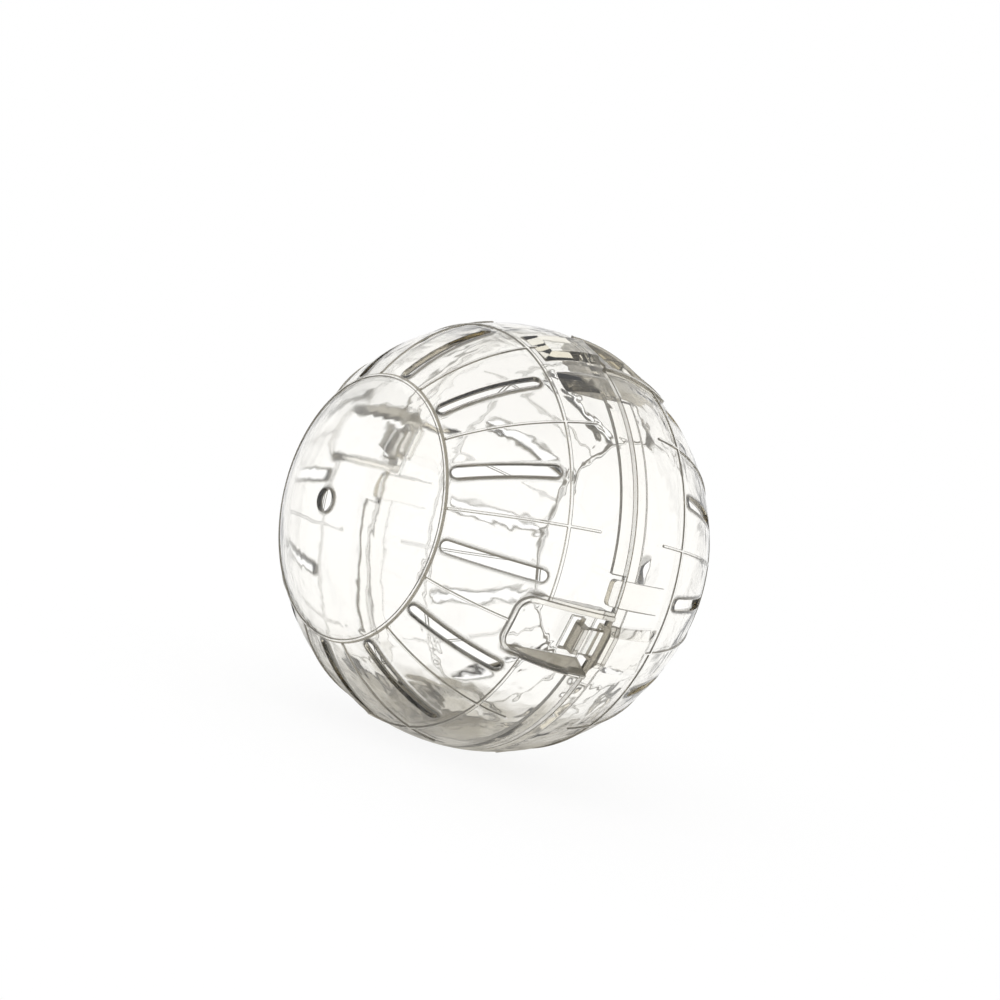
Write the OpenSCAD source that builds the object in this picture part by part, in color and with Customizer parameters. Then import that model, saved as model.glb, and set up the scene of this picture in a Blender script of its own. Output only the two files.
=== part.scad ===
// Hamster ball: two like half shells of clear plastic that snap together at the seam.
//
// The ball's centre is the origin. The polar axis is Y, with the front half's pole at -Y, and Z is up.
// Each half is drawn once, with its pole at +Z and its rim near z = 0. An angle round the polar axis
// starts at +Y and turns toward +X. What lies on one meridian is drawn at angle 0, where x runs along
// the rim, y points out of the ball and z points to the pole, and is then turned to its own angle.

/* [Ball] */
// Outer diameter of the closed ball
ball_d = 120; // [110:1:180]
// Thickness of the clear wall
wall = 1.8; // [1.4:0.1:2.2]
// Gap between the two rims
seam_gap = 0.2; // [0.1:0.05:0.3]
// Bore of the hole at each pole
pole_hole_d = 6.4; // [4:0.2:10]

/* [Vent slots] */
// Number of vent slots round each half
slot_count = 12; // [8:4:12]
// Width of a vent slot
slot_w = 3.2; // [2:0.1:3.6]
// Angle from the pole to the inner end of a slot
slot_start_angle = 39.2; // [39:0.2:45]
// Angle from the pole to the outer end of a slot
slot_end_angle = 67.5; // [55:0.5:68]

/* [Raised lines] */
// Height of the raised lines over the ball
line_rise = 0.35; // [0.2:0.05:0.5]
// Width of a line that runs from the polar circle to the rim
meridian_line_w = 0.6; // [0.5:0.1:1.2]
// Width of the lines that run round the ball
circle_line_w = 0.8; // [0.6:0.1:1.4]
// Angle from the pole to the polar circle
polar_circle_angle = 37.9; // [32:0.1:38.2]
// Angle from the pole to the outer circle
outer_circle_angle = 70.2; // [69.6:0.1:70.6]
// Angle from the pole at which a meridian line stops short of the rim
line_stop_angle = 79.5; // [76:0.5:82]

/* [Rim band] */
// Height of the thicker band inside each rim
band_w = 4.4; // [3:0.1:6]
// How far the band stands in from the wall
band_t = 1.2; // [0.8:0.1:1.6]

/* [Locating keys] */
// Width of a key
key_w = 7.4; // [5:0.2:8]
// How far a key reaches past the rim into the other half
key_reach = 2.7; // [1.5:0.1:3.6]
// How far the inner face of a key lies in from the wall at the rim
key_depth = 2.4; // [1.8:0.1:3]
// Radius of the corners at the tip of a key
key_corner_r = 1.5; // [0.5:0.1:2]
// Clearance between a key and the wall that it slides behind
key_clear = 0.6; // [0.3:0.1:0.8]
// Clearance at each side of a key in its notch
notch_clear = 1.3; // [0.5:0.1:2]

/* [Finger recess] */
// Depth of the recess floor below the ball at the rim
recess_depth = 6.4; // [5.6:0.1:7.2]
// Width of the recess at its floor
recess_w = 13.8; // [12:0.2:15]
// Lean of each side wall of the recess
recess_draft = 14.5; // [8:0.5:18]
// Radius of the recess corners away from the rim
recess_corner_r = 4; // [1:0.1:4.5]
// Width of the raised border round the recess
border_w = 1.2; // [0.8:0.1:1.6]
// Height of that border over the ball
border_rise = 0.8; // [0.4:0.1:1.2]

/* [Latch pad] */
// Width of the raised pad that carries a latch tongue
pad_w = 14.4; // [12:0.2:15]
// Length of the pad from the rim
pad_l = 18.3; // [12:0.1:19]
// Height of the pad over the ball
pad_rise = 1.2; // [0.6:0.1:1.8]
// Width of the slopes at the pad's sides and end
pad_bevel = 2.7; // [1.5:0.1:3.5]

/* [Latch tongue] */
// Width of the tongue
tongue_w = 7.8; // [6:0.2:9]
// How far the tongue reaches past the rim
tongue_l = 7.4; // [7:0.1:9]
// Thickness of the tongue's plate
tongue_t = 1.6; // [1.2:0.1:1.8]
// Clearance between the plate and the wall over its root
tongue_wall_clear = 0.5; // [0.45:0.05:0.8]
// Distance of the tongue's bending line behind the rim
tongue_root = 0.9; // [0.8:0.05:1.2]
// How far the raised ledge at the tip stands over the plate
ledge_rise = 0.6; // [0.3:0.1:0.8]
// Length of that ledge
ledge_l = 2.2; // [1.5:0.1:2.6]
// Distance from the rim to the holding face of the barb
barb_start = 4.1; // [4:0.1:4.4]
// How far the barb reaches below the recess floor
barb_catch = 1; // [0.6:0.1:1.2]
// Length and height of the ramp at the barb's tip
barb_ramp = 1.8; // [1:0.1:2.2]
// Clearance round the barb in its window, and round the tongue's root
latch_clear = 0.3; // [0.2:0.05:0.35]
// Clearance beside and beyond the barb in its window
window_clear = 1.1; // [0.8:0.1:1.4]
// Thickness of the walls of the block that holds the tongue's root
root_wall = 1; // [0.8:0.1:1.4]
// Depth of that block behind the rim
root_l = 4.5; // [3.5:0.1:6]

/* [Hidden] */
// Angle between a vent slot and the next meridian line
line_offset_angle = 180 / slot_count;
// Angles of the first latch pad, finger recess and key of a half; each has a twin opposite
pad_angle = line_offset_angle;
recess_angle = pad_angle + 90;
key_angle = 2 * line_offset_angle;
// Half a turn about this direction carries the front half onto the back half: pads meet recesses there
swap_angle = (pad_angle + recess_angle) / 2;
// Angle of the notch that the other half's key enters
notch_angle = 2 * swap_angle - key_angle;

outer_r = ball_d / 2;
inner_r = outer_r - wall;
mid_r = outer_r - wall / 2;
rim_z = seam_gap / 2;
// Distance by which a cut or a blank runs on past what it meets
overrun = wall;

key_face_y = inner_r - key_depth;
notch_w = key_w + 2 * notch_clear;
key_top_y = inner_r - key_clear;

floor_y = outer_r - recess_depth;
recess_end_z = sqrt(pow(outer_r, 2) - pow(floor_y, 2));
recess_top_y = outer_r + border_rise + overrun;
// Where the rounding of the recess corners starts, seen from the rim and from the polar axis
recess_turn_z = recess_end_z - recess_corner_r;
recess_turn_y = sqrt(pow(outer_r, 2) - pow(recess_turn_z, 2)) + border_rise;

pad_side_y = sqrt(pow(outer_r, 2) - pow(pad_w / 2, 2));
pad_roof_y = outer_r + pad_rise;
pad_roof_l = pad_l - pad_bevel;
pad_foot_y = sqrt(pow(outer_r, 2) - pow(pad_l, 2));
pad_brow_y = sqrt(pow(pad_roof_y, 2) - pow(pad_roof_l, 2));

tongue_top_y = inner_r - tongue_wall_clear;
tongue_low_y = tongue_top_y - tongue_t;
tongue_axis_y = tongue_top_y - tongue_t / 2;
barb_low_y = floor_y - barb_catch;
window_w = tongue_w + 2 * window_clear;
root_gap_w = tongue_w + 2 * latch_clear;
root_w = root_gap_w + 2 * root_wall;
root_low_y = tongue_low_y - latch_clear - root_wall;

clear_plastic = [0.93, 0.93, 0.9];
clear_alpha = 0.45;

$fn = 96;

// Half the recess's width at a given distance from the polar axis
function recess_half_w(y) = recess_w / 2 + (y - floor_y) * tan(recess_draft);

// Turns what is drawn at angle 0 to another angle round the polar axis
module meridian(angle) {
    rotate([0, 0, -angle]) children();
}

// The same at an angle and opposite it
module meridian_pair(angle) {
    for (half_turn = [0, 180]) {
        meridian(angle + half_turn) children();
    }
}

// Extrudes an outline of [x, y] points from one z to another
module along_z(from_z, to_z) {
    translate([0, 0, from_z]) linear_extrude(height = to_z - from_z) children();
}

// Extrudes an outline of [x, z] points from one y to another
module along_y(from_y, to_y) {
    translate([0, to_y, 0]) rotate([90, 0, 0]) linear_extrude(height = to_y - from_y) children();
}

// Extrudes an outline of [y, z] points along x, with its width centred on the meridian
module along_x(width) {
    rotate([90, 0, 90]) linear_extrude(height = width, center = true) children();
}

// Keeps what lies on the pole's side of the rim
module above_rim() {
    intersection() {
        children();
        along_z(rim_z, 2 * outer_r) square(4 * outer_r, center = true);
    }
}

// A long shape with round ends along y
module stadium(width, length) {
    square([width, length - width], center = true);
    for (side = [-1, 1]) {
        translate([0, side * (length - width) / 2]) circle(d = width);
    }
}

// A tab from one z to another, with the two corners at its far end rounded
module tab_outline(half_w, from_z, to_z, corner) {
    translate([-half_w, from_z]) square([2 * half_w, to_z - corner - from_z]);
    translate([corner - half_w, from_z]) square([2 * (half_w - corner), to_z - from_z]);
    for (side = [-1, 1]) {
        translate([side * (half_w - corner), to_z - corner]) circle(r = corner);
    }
}

// A stadium's prism through the wall on the meridian, between two angles from the pole
module meridian_prism(width, from_angle, to_angle) {
    half_span = (to_angle - from_angle) / 2;
    rotate([-(from_angle + half_span), 0, 0])
        along_z(inner_r * cos(half_span) - overrun, outer_r + overrun)
            stadium(width, 2 * outer_r * sin(half_span));
}

// The raised meridian lines and the two raised circles
module raised_lines() {
    intersection() {
        sphere(r = outer_r + line_rise);
        union() {
            for (i = [0 : slot_count - 1]) {
                meridian(line_offset_angle * (2 * i + 1))
                    meridian_prism(meridian_line_w, polar_circle_angle, line_stop_angle);
            }
            along_z(0, 2 * outer_r) difference() {
                circle(r = outer_r * sin(polar_circle_angle) + circle_line_w / 2);
                circle(r = outer_r * sin(polar_circle_angle) - circle_line_w / 2);
            }
            translate([0, 0, outer_r * cos(outer_circle_angle) - circle_line_w / 2])
                cylinder(r = 2 * outer_r, h = circle_line_w);
        }
    }
}

// Cuts the twelve vent slots
module slot_cuts() {
    for (i = [0 : slot_count - 1]) {
        meridian(line_offset_angle * 2 * i)
            meridian_prism(slot_w, slot_start_angle, slot_end_angle);
    }
}

// The pad over a latch tongue: a flat-topped tread round the x axis with sloped sides and end
module latch_pad() {
    flat_w = pad_w - 2 * pad_bevel;
    intersection() {
        rotate([0, 90, 0]) union() {
            cylinder(r = pad_roof_y, h = flat_w, center = true);
            for (side = [0, 180]) {
                rotate([side, 0, 0]) translate([0, 0, flat_w / 2])
                    cylinder(r1 = pad_roof_y, r2 = pad_side_y, h = pad_bevel);
            }
        }
        along_x(pad_w) polygon([
            [0, 0],
            [pad_roof_y, 0],
            [pad_roof_y, pad_roof_l / 2],
            [pad_brow_y, pad_roof_l],
            [pad_foot_y, pad_l],
            [0, pad_l]
        ]);
    }
}

// The recess seen from outside, grown by a margin
module recess_plan(margin) {
    wide_half_w = recess_half_w(recess_top_y) + margin;
    translate([-wide_half_w, -overrun]) square([2 * wide_half_w, recess_turn_z + overrun]);
    tab_outline(
        recess_half_w(recess_turn_y) + margin, -overrun, recess_end_z + margin, recess_corner_r + margin
    );
}

// The recess seen from the rim, grown by a margin at its floor and sides
module recess_section(margin) {
    polygon([
        [-recess_half_w(floor_y) - margin, floor_y - margin],
        [recess_half_w(floor_y) + margin, floor_y - margin],
        [recess_half_w(recess_top_y) + margin, recess_top_y],
        [-recess_half_w(recess_top_y) - margin, recess_top_y]
    ]);
}

// The hollow of the finger recess, open at the rim
module recess_cut() {
    intersection() {
        along_z(-overrun, recess_end_z + overrun) recess_section(0);
        along_y(floor_y - overrun, recess_top_y) recess_plan(0);
    }
}

// The raised border round the recess, before the recess is cut
module recess_border() {
    intersection() {
        sphere(r = outer_r + border_rise);
        along_z(0, recess_end_z + border_w) recess_section(border_w);
        along_y(0, recess_top_y) recess_plan(border_w);
    }
}

// The tray of floor and side walls behind the recess, before the recess is cut
module recess_tray() {
    intersection() {
        sphere(r = mid_r);
        along_z(0, recess_end_z + wall) recess_section(wall);
    }
}

// The window in the recess floor that the other half's barb drops into
module catch_window() {
    along_y(floor_y - wall - overrun, floor_y + overrun)
        translate([-window_w / 2, barb_start - latch_clear])
            square([window_w, tongue_l + window_clear - barb_start]);
}

// The band inside the rim, open where the other half's keys and this half's tongues are
module rim_band() {
    difference() {
        intersection() {
            sphere(r = mid_r);
            cylinder(r = outer_r, h = band_w);
        }
        translate([0, 0, -overrun]) cylinder(r = inner_r - band_t, h = band_w + 2 * overrun);
        meridian_pair(notch_angle) band_gap(notch_w);
        meridian_pair(pad_angle) band_gap(root_gap_w + root_wall);
    }
}

// A gap right through the band, as wide as given
module band_gap(width) {
    along_y(inner_r / 2, outer_r)
        translate([-width / 2, -overrun])
            square([width, band_w + 2 * overrun]);
}

// The block behind the pad that the tongue's root turns in
module tongue_root_block() {
    difference() {
        intersection() {
            sphere(r = mid_r);
            along_z(0, root_l) translate([-root_w / 2, root_low_y]) square([root_w, outer_r - root_low_y]);
        }
        along_x(root_gap_w) {
            translate([tongue_low_y - latch_clear, -overrun])
                square([outer_r - tongue_low_y, tongue_root + overrun]);
            translate([tongue_axis_y, tongue_root]) circle(r = tongue_t / 2 + latch_clear);
        }
    }
}

// A locating key: a flat-faced rib behind the wall, with a nose that enters the other half
module locating_key() {
    above_rim() intersection() {
        sphere(r = mid_r);
        along_z(0, outer_r) translate([-key_w / 2, key_face_y]) square([key_w, outer_r - key_face_y]);
    }
    along_y(key_face_y, key_top_y) mirror([0, 1]) tab_outline(key_w / 2, -band_w, key_reach, key_corner_r);
}

// One half, with its pole at +Z
module half_shell() {
    difference() {
        union() {
            above_rim() {
                difference() {
                    union() {
                        sphere(r = outer_r);
                        raised_lines();
                        meridian_pair(pad_angle) latch_pad();
                        meridian_pair(recess_angle) recess_border();
                    }
                    sphere(r = inner_r);
                }
                rim_band();
                meridian_pair(recess_angle) recess_tray();
                meridian_pair(pad_angle) tongue_root_block();
            }
            meridian_pair(key_angle) locating_key();
        }
        slot_cuts();
        meridian_pair(recess_angle) {
            recess_cut();
            catch_window();
        }
        cylinder(d = pole_hole_d, h = 2 * outer_r);
    }
}

// A latch tongue at angle 0: plate, thumb ledge and barb, with a round root on the bending line
module latch_tongue() {
    along_x(tongue_w) {
        polygon([
            [tongue_low_y, tongue_root],
            [tongue_low_y, -barb_start],
            [barb_low_y, -barb_start],
            [barb_low_y, barb_ramp - tongue_l],
            [barb_low_y + barb_ramp, -tongue_l],
            [tongue_top_y + ledge_rise, -tongue_l],
            [tongue_top_y + ledge_rise, ledge_l - tongue_l],
            [tongue_top_y, ledge_l - tongue_l],
            [tongue_top_y, tongue_root]
        ]);
        translate([tongue_axis_y, tongue_root]) circle(d = tongue_t);
    }
}

// Turns a half's own frame into the ball's frame
module front_side() {
    rotate([90, 0, 0]) children();
}

module back_side() {
    rotate(a = 180, v = [sin(swap_angle), 0, cos(swap_angle)]) front_side() children();
}

module front_half_shell() {
    color(clear_plastic, clear_alpha) front_side() half_shell();
}

module back_half_shell() {
    color(clear_plastic, clear_alpha) back_side() half_shell();
}

module front_upper_latch_tongue() {
    color(clear_plastic, clear_alpha) front_side() meridian(pad_angle) latch_tongue();
}

module front_lower_latch_tongue() {
    color(clear_plastic, clear_alpha) front_side() meridian(pad_angle + 180) latch_tongue();
}

module back_right_latch_tongue() {
    color(clear_plastic, clear_alpha) back_side() meridian(pad_angle) latch_tongue();
}

module back_left_latch_tongue() {
    color(clear_plastic, clear_alpha) back_side() meridian(pad_angle + 180) latch_tongue();
}

front_half_shell();
back_half_shell();
front_upper_latch_tongue();
front_lower_latch_tongue();
back_right_latch_tongue();
back_left_latch_tongue();
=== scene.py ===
"""Hamster ball: the finish of its clear mouldings, and the white studio that they stand in."""

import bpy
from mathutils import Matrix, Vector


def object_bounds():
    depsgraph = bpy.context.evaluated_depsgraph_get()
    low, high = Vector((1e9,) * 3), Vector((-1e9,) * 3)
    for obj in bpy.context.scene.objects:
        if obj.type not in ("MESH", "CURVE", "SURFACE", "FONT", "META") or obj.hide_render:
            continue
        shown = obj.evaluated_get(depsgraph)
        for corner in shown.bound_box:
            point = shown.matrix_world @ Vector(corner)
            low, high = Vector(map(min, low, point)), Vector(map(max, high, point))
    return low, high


bl_info = {
    "name": "Hamster Ball",
    "version": (1, 0, 0),
    "blender": (4, 5, 0),
    "location": "3D View > Sidebar > Hamster Ball",
    "description": "Finishes the clear mouldings of a hamster ball and lights them in a white studio",
    "category": "Object",
}

import math

import bmesh
import bpy
from bpy.props import FloatProperty, FloatVectorProperty, PointerProperty
from mathutils import Matrix, Vector

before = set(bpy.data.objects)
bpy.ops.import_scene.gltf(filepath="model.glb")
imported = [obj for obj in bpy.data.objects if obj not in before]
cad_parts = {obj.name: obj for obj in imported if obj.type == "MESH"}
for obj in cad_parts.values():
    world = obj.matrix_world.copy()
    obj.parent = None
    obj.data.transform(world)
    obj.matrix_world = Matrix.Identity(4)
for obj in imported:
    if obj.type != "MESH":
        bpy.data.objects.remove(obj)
CAD_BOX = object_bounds()

MM = 0.001
SHELLS = ("front_half_shell", "back_half_shell")
TONGUES = (
    "front_upper_latch_tongue",
    "front_lower_latch_tongue",
    "back_right_latch_tongue",
    "back_left_latch_tongue",
)
STYRENE = "clear_moulded_styrene"


def linear(hex_colour):
    """An sRGB hex colour as the linear red, green, blue and alpha that Blender's sockets hold."""
    parts = [int(hex_colour[i:i + 2], 16) / 255 for i in (1, 3, 5)]
    return (*[c / 12.92 if c <= 0.04045 else ((c + 0.055) / 1.055) ** 2.4 for c in parts], 1.0)


def add_node(tree, kind, links=None, **settings):
    """Adds a node. Settings are its own properties or, where it has none of that name, its inputs."""
    node = tree.nodes.new(kind)
    for name, value in settings.items():
        if hasattr(node, name):
            setattr(node, name, value)
        else:
            node.inputs[name.replace("_", " ")].default_value = value
    for name, source in (links or {}).items():
        tree.links.new(source, node.inputs[name])
    return node


WHITE = linear("#ffffff")


def new_material(name):
    """An empty node material with its output node."""
    material = bpy.data.materials.new(name)
    material.use_nodes = True
    material.node_tree.nodes.clear()
    output = add_node(material.node_tree, "ShaderNodeOutputMaterial")
    return material, material.node_tree, output


class HamsterBallFinish(bpy.types.PropertyGroup):
    """What the moulded plastic is like."""

    ior: FloatProperty(
        name="Index of refraction",
        description="How strongly the plastic bends light; clear styrene plastics lie near 1.57",
        default=1.57, min=1.45, max=1.62,
    )
    tint: FloatVectorProperty(
        name="Colour in depth",
        description="What is left of white light after a long way through the plastic",
        subtype="COLOR", size=3, min=0, max=1, default=linear("#e4d5a2")[:3],
    )
    tint_density: FloatProperty(
        name="Density",
        description="How fast the plastic darkens with depth, per metre",
        default=28, min=0, max=500,
    )
    roughness: FloatProperty(
        name="Roughness",
        description="Roughness of the polished faces where they are clearest",
        default=0.012, min=0, max=0.2,
    )
    haze_size: FloatProperty(
        name="Haze size",
        description="Width of the patches of fine haze on the polished faces",
        unit="LENGTH", default=9 * MM, min=1 * MM, max=50 * MM,
    )
    # Painted shade: a grey that the faces across the wall are painted, with the clearness below, in place of
    # the dark that light bent in the wall gives them
    across_painted_shade: FloatVectorProperty(
        name="Colour across the wall",
        description="Colour of the faces across the wall: slots, rims, recess sides and the flanks of lines",
        subtype="COLOR", size=3, min=0, max=1, default=linear("#c6c1b5")[:3],
    )
    across_clearness: FloatProperty(
        name="Clearness across the wall",
        description="Share of light that those faces let through",
        subtype="FACTOR", default=0.7, min=0, max=1,
    )
    across_roughness: FloatProperty(
        name="Roughness across the wall",
        description="How much duller those faces are",
        default=0.1, min=0, max=0.5,
    )
    # Painted shade: the dark that the rounded edges are painted, with the clearness below, on top of the
    # real bending of light by their rounded normals
    edge_painted_shade: FloatVectorProperty(
        name="Edge colour",
        description="Colour that the rounded edges show",
        subtype="COLOR", size=3, min=0, max=1, default=linear("#827c6d")[:3],
    )
    edge_clearness: FloatProperty(
        name="Edge clearness",
        description="Share of light that the rounded edges let through",
        subtype="FACTOR", default=0.35, min=0, max=1,
    )
    edge_radius: FloatProperty(
        name="Edge radius",
        description="Radius to which the mould rounds every edge",
        unit="LENGTH", default=0.35 * MM, min=0, max=1 * MM,
    )
    slot_radius: FloatProperty(
        name="Extra radius in the slots",
        description="How much rounder the slots and pole holes are on their inner side",
        unit="LENGTH", default=1.7 * MM, min=0, max=3 * MM,
    )
    wave_size: FloatProperty(
        name="Wave size",
        description="Width of the ripples that moulding leaves in the inner face",
        unit="LENGTH", default=12 * MM, min=3 * MM, max=60 * MM,
    )
    wave_height: FloatProperty(
        name="Wave height",
        description="Height of those ripples",
        unit="LENGTH", default=0.3 * MM, min=0, max=2 * MM,
    )
    cap_ripple: FloatProperty(
        name="Ripple of the caps",
        description="Share of those ripples inside the circle round each pole",
        subtype="FACTOR", default=0.4, min=0, max=1,
    )


class HamsterBallStudio(bpy.types.PropertyGroup):
    """Where the camera stands, how it is turned, and its lens."""

    azimuth: FloatProperty(
        name="Azimuth",
        description="Direction from which the camera looks, from the front pole toward the right",
        subtype="ANGLE", default=math.radians(51.56),
    )
    elevation: FloatProperty(
        name="Elevation",
        description="Height of the camera over the horizon",
        subtype="ANGLE", default=math.radians(6.13),
    )
    roll: FloatProperty(
        name="Roll",
        description="Turn of the camera about its line of sight, for a ball that lies tilted",
        subtype="ANGLE", default=math.radians(17.25),
    )
    distance: FloatProperty(
        name="Distance",
        description="Distance of the camera from the ball's centre",
        unit="LENGTH", default=1.08, min=0.3, max=5,
    )
    lens: FloatProperty(
        name="Focal length",
        description="Focal length in millimetres on a 36 mm sensor",
        default=139, min=20, max=300,
    )


class HAMSTERBALL_OT_half_shells(bpy.types.Operator):
    """Finish both half shells as clear moulded plastic"""

    bl_idname = "hamsterball.half_shells"
    bl_label = "Half Shells"

    def execute(self, context):
        material = shared_styrene(context.scene)
        for name in SHELLS:
            dress(name, material)
        return {"FINISHED"}


class HAMSTERBALL_OT_latch_tongues(bpy.types.Operator):
    """Finish the four latch tongues as clear moulded plastic"""

    bl_idname = "hamsterball.latch_tongues"
    bl_label = "Latch Tongues"

    def execute(self, context):
        material = shared_styrene(context.scene)
        for name in TONGUES:
            dress(name, material)
        return {"FINISHED"}


class HAMSTERBALL_OT_studio(bpy.types.Operator):
    """Build the white floor, the lamps, the world and the camera"""

    bl_idname = "hamsterball.studio"
    bl_label = "Studio"

    def execute(self, context):
        studio = context.scene.hamster_ball_studio
        add_floor()
        add_lamps()
        set_world(context.scene)
        add_camera(context.scene, studio)
        context.scene.view_settings.view_transform = "Standard"
        return {"FINISHED"}


class HAMSTERBALL_PT_panel(bpy.types.Panel):
    """Sidebar panel with the ball's operators and settings"""

    bl_idname = "HAMSTERBALL_PT_panel"
    bl_label = "Hamster Ball"
    bl_space_type = "VIEW_3D"
    bl_region_type = "UI"
    bl_category = "Hamster Ball"

    def draw(self, context):
        layout = self.layout
        for operator in OPERATORS:
            layout.operator(operator.bl_idname)
        for group in (context.scene.hamster_ball_finish, context.scene.hamster_ball_studio):
            column = layout.column()
            for name in group.__annotations__:
                column.prop(group, name)


# How squarely a surface faces away from the ball's centre: a polished face, and a face across the wall
FACE_SLOPE = 0.93
ACROSS_SLOPE = 0.3
# How squarely the rounded normal agrees with the flat one where an edge's painted shade begins, and where it
# is full
EDGE_FROM = 0.995
EDGE_FULL = 0.9
# The same for the wider rounding on the inner side of the slots
RIM_FROM = 0.9995
RIM_FULL = 0.95
# How many rays find each rounded normal
EDGE_SAMPLES = 8
# Share of the dullness, the painted grey and the edges' painted shade that the slots' nearly clear walls
# keep
SLOT_WALL_SHARE = 0.18
# Distances from the ball's centre between which the wall's rippled inner face gives way to the outer one
INNER_R = 58.4 * MM
OUTER_R = 59.2 * MM
# Distances between which the slots' walls give way to the raised lines
LINES_FROM = 59.9 * MM
LINES_TO = 60.05 * MM
# Share of the ripples on the outer face
OUTER_RIPPLE = 0.08
# How far from the seam plane the vent slots begin, and the smoother caps inside the polar circles
SLOTS_FROM = 19 * MM
SLOTS_TO = 22 * MM
CAP_FROM = 46.4 * MM
CAP_TO = 48.2 * MM
# The part of the haze pattern in which the roughness rises, and how many times it rises
HAZE_FROM = 0.35
HAZE_TO = 0.75
HAZE_RISE = 3
# How far from the seam plane the flank of a polar circle's line lies that faces the slots. It is painted
# as dark as an edge, a painted shade
FLANK_FROM = 46.85 * MM
FLANK_FULL_FROM = 47.0 * MM
FLANK_FULL_TO = 47.66 * MM
FLANK_TO = 47.72 * MM


def ramped(tree, value, start, end, low=0.0, high=1.0):
    """Carries a value smoothly from low to high while it runs from start to end."""
    node = add_node(
        tree, "ShaderNodeMapRange", {"Value": value}, interpolation_type="SMOOTHSTEP",
        From_Min=start, From_Max=end, To_Min=low, To_Max=high,
    )
    return node.outputs["Result"]


def combined(tree, operation, *values):
    """Joins values, sockets or plain numbers, by a Math node's operation."""
    node = add_node(tree, "ShaderNodeMath", operation=operation)
    for socket, value in zip(node.inputs, values):
        if isinstance(value, (int, float)):
            socket.default_value = value
        else:
            tree.links.new(value, socket)
    return node.outputs["Value"]


def leaning(tree, first, second):
    """How squarely two directions agree, whichever side they point to."""
    node = add_node(tree, "ShaderNodeVectorMath", {0: first, 1: second}, operation="DOT_PRODUCT")
    return combined(tree, "ABSOLUTE", node.outputs["Value"])


def mixed_colour(tree, factor, first, second):
    """Mixes a colour, or a socket that gives one, with another colour."""
    node = add_node(tree, "ShaderNodeMix", data_type="RGBA")
    tree.links.new(factor, node.inputs["Factor"])
    if isinstance(first, bpy.types.NodeSocket):
        tree.links.new(first, node.inputs[6])
    else:
        node.inputs[6].default_value = first
    node.inputs[7].default_value = second
    return node.outputs[2]


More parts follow.
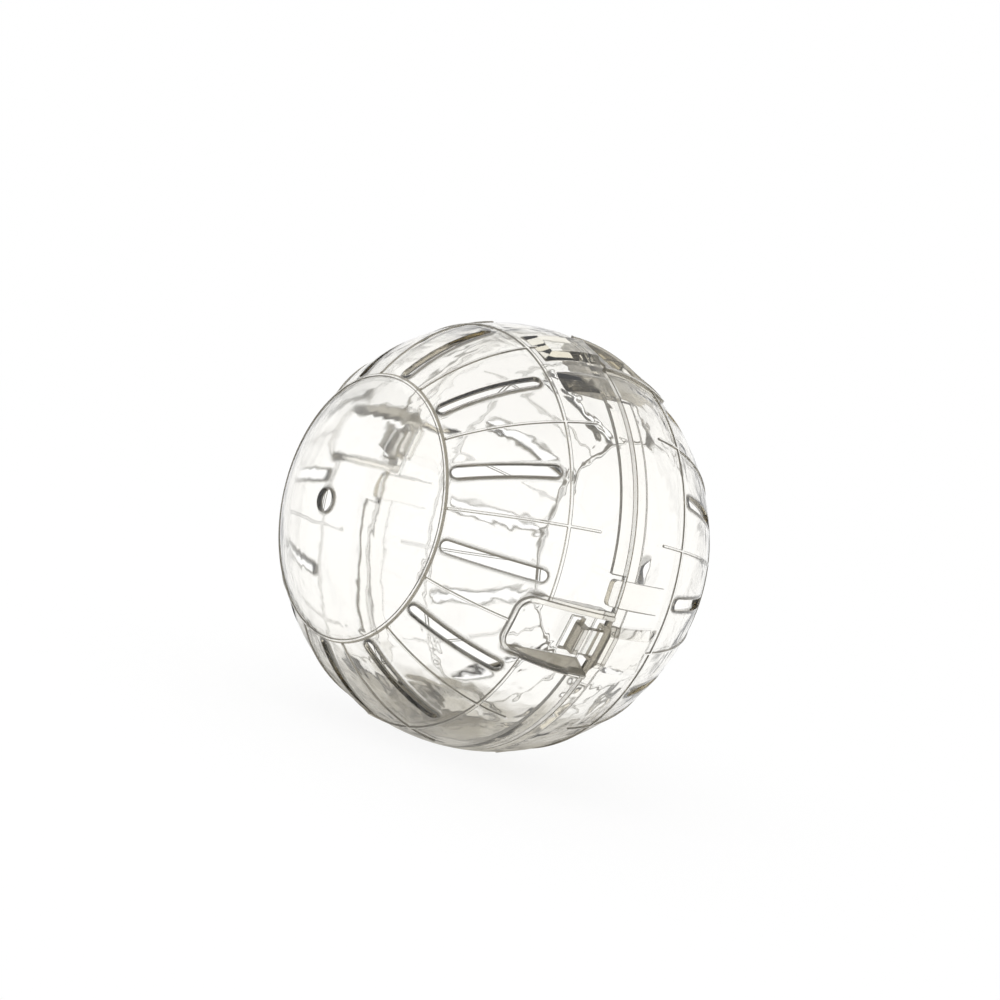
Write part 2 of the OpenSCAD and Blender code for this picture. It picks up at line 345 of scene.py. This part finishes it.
def clear_styrene(finish):
    """Clear styrene plastic, injection moulded in polished steel. The ball's two faces are glossy and
    as good as colourless, and the inner one ripples where the melt flowed. The faces across the wall come
    from the parting edges and cores of the mould, so they are duller, and they are painted a grey, a painted
    shade for the dark that light bent in the wall gives them, except the slots' walls, which are nearly
    clear.
    Edges are shaded round, which bends the light at them, and are painted dark besides, a painted shade that
    is strongest on the slots' inner side and is also laid on the flank of each polar circle's line."""
    material, tree, output = new_material(STYRENE)
    place = add_node(tree, "ShaderNodeTexCoord").outputs["Object"]
    flat = add_node(tree, "ShaderNodeNewGeometry").outputs["True Normal"]
    outward = add_node(tree, "ShaderNodeVectorMath", {0: place}, operation="NORMALIZE").outputs["Vector"]
    radius = add_node(tree, "ShaderNodeVectorMath", {0: place}, operation="LENGTH").outputs["Value"]
    parts = add_node(tree, "ShaderNodeSeparateXYZ", {"Vector": place})
    height = combined(tree, "ABSOLUTE", parts.outputs["Y"])

    slots = ramped(tree, height, SLOTS_FROM, SLOTS_TO)
    inner_rim = combined(tree, "MULTIPLY", ramped(tree, radius, INNER_R, OUTER_R, 1.0, 0.0), slots)
    rounding = combined(tree, "MULTIPLY_ADD", inner_rim, finish.slot_radius, finish.edge_radius)
    rounded = add_node(tree, "ShaderNodeBevel", {"Radius": rounding}, samples=EDGE_SAMPLES).outputs["Normal"]
    turn = leaning(tree, rounded, flat)
    across = ramped(tree, leaning(tree, outward, flat), FACE_SLOPE, ACROSS_SLOPE)
    in_wall = combined(tree, "MULTIPLY", slots, ramped(tree, radius, LINES_FROM, LINES_TO, 1.0, 0.0))
    slot_wall = combined(tree, "MULTIPLY", across, in_wall)
    # Painted shade: the mask of the rounded edges, the slots' inner rims and the polar lines' flanks, which
    # are painted dark below
    edge = combined(
        tree, "MULTIPLY",
        ramped(tree, turn, EDGE_FROM, EDGE_FULL), ramped(tree, slot_wall, 0, 1, 1.0, SLOT_WALL_SHARE),
    )
    rim = combined(tree, "MULTIPLY", inner_rim, ramped(tree, turn, RIM_FROM, RIM_FULL))
    edge = combined(tree, "MAXIMUM", edge, rim)
    # Painted shade: the flank of each polar circle's line is painted as dark as an edge
    flank = combined(
        tree, "MULTIPLY",
        ramped(tree, height, FLANK_FROM, FLANK_FULL_FROM),
        ramped(tree, height, FLANK_FULL_TO, FLANK_TO, 1.0, 0.0),
    )
    flank = combined(tree, "MULTIPLY", flank, ramped(tree, radius, OUTER_R, LINES_FROM))
    edge = combined(tree, "MAXIMUM", edge, flank)
    across = combined(tree, "MULTIPLY", across, ramped(tree, in_wall, 0, 1, 1.0, SLOT_WALL_SHARE))

    cap = ramped(tree, height, CAP_FROM, CAP_TO, 1.0, finish.cap_ripple)
    ripple = combined(tree, "MULTIPLY", ramped(tree, radius, INNER_R, OUTER_R, 1.0, OUTER_RIPPLE), cap)
    waves = add_node(
        tree, "ShaderNodeTexNoise", {"Vector": place},
        Scale=1 / finish.wave_size, Detail=2, Roughness=0.5, Distortion=0.4,
    )
    bump = add_node(
        tree, "ShaderNodeBump", {"Height": waves.outputs["Fac"], "Strength": ripple, "Normal": rounded},
        Distance=finish.wave_height,
    )

    haze = add_node(
        tree, "ShaderNodeTexNoise", {"Vector": place}, Scale=1 / finish.haze_size, Detail=4, Roughness=0.6,
    )
    gloss = ramped(
        tree, haze.outputs["Fac"], HAZE_FROM, HAZE_TO, finish.roughness, HAZE_RISE * finish.roughness,
    )
    dull = combined(tree, "MULTIPLY_ADD", across, finish.across_roughness, gloss)
    # Painted shade: the faces across the wall are mixed toward a grey and the masked edges toward a dark
    # colour, and both let less light through
    colour = mixed_colour(tree, across, WHITE, (*finish.across_painted_shade, 1))
    colour = mixed_colour(tree, edge, colour, (*finish.edge_painted_shade, 1))
    clear = combined(
        tree, "MINIMUM",
        ramped(tree, across, 0, 1, 1.0, finish.across_clearness),
        ramped(tree, edge, 0, 1, 1.0, finish.edge_clearness),
    )
    surface = add_node(
        tree, "ShaderNodeBsdfPrincipled",
        {
            "Base Color": colour,
            "Roughness": dull,
            "Transmission Weight": clear,
            "Normal": bump.outputs["Normal"],
        },
        IOR=finish.ior,
    )
    depth = add_node(
        tree, "ShaderNodeVolumeAbsorption", Color=(*finish.tint, 1), Density=finish.tint_density,
    )
    tree.links.new(surface.outputs["BSDF"], output.inputs["Surface"])
    tree.links.new(depth.outputs["Volume"], output.inputs["Volume"])
    return material


def shared_styrene(scene):
    """The one plastic of every piece, made for the piece that asks first."""
    return bpy.data.materials.get(STYRENE) or clear_styrene(scene.hamster_ball_finish)


def dress(node_name, material):
    """Gives a CAD node its finish."""
    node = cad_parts[node_name]
    node.data.materials.clear()
    node.data.materials.append(material)


def seen_ray(tree, kinds):
    """1 for a ray of the given kinds: to the camera, in a reflection or through the plastic."""
    path = add_node(tree, "ShaderNodeLightPath")
    total = path.outputs[f"Is {kinds[0]} Ray"]
    for kind in kinds[1:]:
        total = combined(tree, "MAXIMUM", total, path.outputs[f"Is {kind} Ray"])
    return total


# Strength of the white that is seen, and of the white that is seen through the plastic: just over 1, for
# the little that each face of it takes away
WHITE_LEVEL = 1.0
THROUGH_LEVEL = 1.07
# The floor, and a soft-edged painted shadow on it near the ball, which stands for the ball's shade
FLOOR_R = 30
FLOOR_SIDES = 96
SHADE_MIDDLE = (-25 * MM, 25 * MM)
SHADE_FROM = 15 * MM
SHADE_TO = 95 * MM
SHADE_COLOUR = "#989283"
# How much of the floor's white is its own glow near the ball, and where that runs to all of it
PAPER_COLOUR = "#f9f9f9"
PAPER_GLOW = 0.9
PAPER_FROM = 100 * MM
PAPER_TO = 600 * MM


def add_floor():
    """A white floor that is seen as white and still takes a faint shadow. Through the plastic, and mirrored
    in it, a painted shadow near the ball shows darker."""
    mesh = bpy.data.meshes.new("studio_floor")
    shape = bmesh.new()
    bmesh.ops.create_circle(shape, cap_ends=True, segments=FLOOR_SIDES, radius=FLOOR_R)
    bmesh.ops.translate(shape, verts=shape.verts, vec=(0, 0, CAD_BOX[0].z))
    shape.to_mesh(mesh)
    shape.free()
    floor = bpy.data.objects.new("studio_floor", mesh)
    bpy.context.scene.collection.objects.link(floor)
    material, tree, output = new_material("white_paper_floor")
    place = add_node(tree, "ShaderNodeTexCoord")
    from_shade = add_node(tree, "ShaderNodeVectorMath", {0: place.outputs["Object"]}, operation="DISTANCE")
    from_shade.inputs[1].default_value = (*SHADE_MIDDLE, CAD_BOX[0].z)
    path = add_node(tree, "ShaderNodeLightPath")
    level = combined(
        tree, "MAXIMUM",
        ramped(tree, from_shade.outputs["Value"], SHADE_FROM, SHADE_TO), path.outputs["Is Camera Ray"],
    )
    paper = add_node(tree, "ShaderNodeBsdfDiffuse", Color=linear(PAPER_COLOUR))
    # Painted shadow: in reflections and through the plastic the floor's glow is toned toward SHADE_COLOUR
    # round SHADE_MIDDLE, while the camera sees it white
    tone = mixed_colour(tree, level, linear(SHADE_COLOUR), WHITE)
    strength = ramped(tree, path.outputs["Is Transmission Ray"], 0, 1, WHITE_LEVEL, THROUGH_LEVEL)
    glow = add_node(tree, "ShaderNodeEmission", {"Color": tone, "Strength": strength})
    glowing = ramped(tree, from_shade.outputs["Value"], PAPER_FROM, PAPER_TO, PAPER_GLOW, 1.0)
    share = combined(tree, "MULTIPLY", seen_ray(tree, ("Camera", "Glossy", "Transmission")), glowing)
    mixed = add_node(
        tree, "ShaderNodeMixShader",
        {0: share, 1: paper.outputs["BSDF"], 2: glow.outputs["Emission"]},
    )
    tree.links.new(mixed.outputs["Shader"], output.inputs["Surface"])
    mesh.materials.append(material)


# The soft boxes: name, place and width in metres, and watts
SOFTBOXES = (
    ("key_softbox", (0.5, -1.0, 1.3), 1.6, 12),
    ("fill_softbox", (-1.0, 0.6, 1.2), 1.6, 6),
)


def add_lamps():
    """Two soft boxes over the ball. Neither shows in the plastic."""
    for name, place, size, power in SOFTBOXES:
        lamp = bpy.data.lights.new(name, "AREA")
        lamp.size = size
        lamp.energy = power
        stand = bpy.data.objects.new(name, lamp)
        stand.visible_glossy = False
        stand.visible_transmission = False
        stand.location = place
        stand.rotation_euler = (-Vector(place)).to_track_quat("-Z", "Y").to_euler()
        bpy.context.scene.collection.objects.link(stand)


# The ceiling that is seen through the plastic: where it darkens, as the rise of a direction, and its colour
CEILING_FROM = 0.3
CEILING_TO = 0.5
CEILING_COLOUR = "#f3f1eb"
# Strength of the light that the room itself sheds
ROOM_LIGHT = 0.75


def set_world(scene):
    """A white room. What is bent upward through the plastic meets a darker ceiling, which gives clear things
    their dark edges in a bright studio."""
    world = bpy.data.worlds.new("white_studio")
    world.use_nodes = True
    tree = world.node_tree
    tree.nodes.clear()
    place = add_node(tree, "ShaderNodeTexCoord")
    parts = add_node(tree, "ShaderNodeSeparateXYZ", {"Vector": place.outputs["Generated"]})
    ceiling = add_node(
        tree, "ShaderNodeMapRange", {"Value": parts.outputs["Z"]},
        From_Min=CEILING_FROM, From_Max=CEILING_TO,
    )
    light = add_node(tree, "ShaderNodeBackground", Color=WHITE, Strength=ROOM_LIGHT)
    seen = add_node(tree, "ShaderNodeBackground", Color=WHITE, Strength=WHITE_LEVEL)
    tone = mixed_colour(tree, ceiling.outputs["Result"], WHITE, linear(CEILING_COLOUR))
    through = add_node(tree, "ShaderNodeBackground", {"Color": tone}, Strength=THROUGH_LEVEL)
    shown = add_node(
        tree, "ShaderNodeMixShader",
        {
            0: seen_ray(tree, ("Camera", "Glossy")),
            1: light.outputs["Background"],
            2: seen.outputs["Background"],
        },
    )
    mixed = add_node(
        tree, "ShaderNodeMixShader",
        {
            0: seen_ray(tree, ("Transmission",)),
            1: shown.outputs["Shader"],
            2: through.outputs["Background"],
        },
    )
    output = add_node(tree, "ShaderNodeOutputWorld", {"Surface": mixed.outputs["Shader"]})
    output.is_active_output = True
    scene.world = world


# Where the ball's centre lies in the photograph's frame, in pixels from its top left
FRAME_SIZE = 1000
CENTRE_PX = (494.5, 537.0)
SENSOR_MM = 36


def add_camera(scene, studio):
    """The photograph's camera: a long lens, level with the ball, turned about its line of sight."""
    azimuth, elevation = studio.azimuth, studio.elevation
    back = Vector((
        math.sin(azimuth) * math.cos(elevation),
        -math.cos(azimuth) * math.cos(elevation),
        math.sin(elevation),
    ))
    level_right = Vector((math.cos(azimuth), math.sin(azimuth), 0))
    level_up = back.cross(level_right)
    right = level_right * math.cos(studio.roll) + level_up * math.sin(studio.roll)
    up = back.cross(right)
    data = bpy.data.cameras.new("camera")
    data.lens = studio.lens
    data.sensor_width = SENSOR_MM
    data.shift_x = 0.5 - CENTRE_PX[0] / FRAME_SIZE
    data.shift_y = CENTRE_PX[1] / FRAME_SIZE - 0.5
    camera = bpy.data.objects.new("camera", data)
    turn = Matrix((right, up, back)).transposed().to_4x4()
    camera.matrix_world = Matrix.Translation(back * studio.distance) @ turn
    scene.collection.objects.link(camera)
    scene.camera = camera


OPERATORS = (HAMSTERBALL_OT_half_shells, HAMSTERBALL_OT_latch_tongues, HAMSTERBALL_OT_studio)
GROUPS = (HamsterBallFinish, HamsterBallStudio)


def register():
    for cls in (*GROUPS, *OPERATORS, HAMSTERBALL_PT_panel):
        bpy.utils.register_class(cls)
    bpy.types.Scene.hamster_ball_finish = PointerProperty(type=HamsterBallFinish)
    bpy.types.Scene.hamster_ball_studio = PointerProperty(type=HamsterBallStudio)


def unregister():
    del bpy.types.Scene.hamster_ball_studio
    del bpy.types.Scene.hamster_ball_finish
    for cls in (HAMSTERBALL_PT_panel, *reversed(OPERATORS), *reversed(GROUPS)):
        bpy.utils.unregister_class(cls)


def main():
    register()
    bpy.ops.hamsterball.half_shells()
    bpy.ops.hamsterball.latch_tongues()
    bpy.ops.hamsterball.studio()


if __name__ == "__main__":
    main()
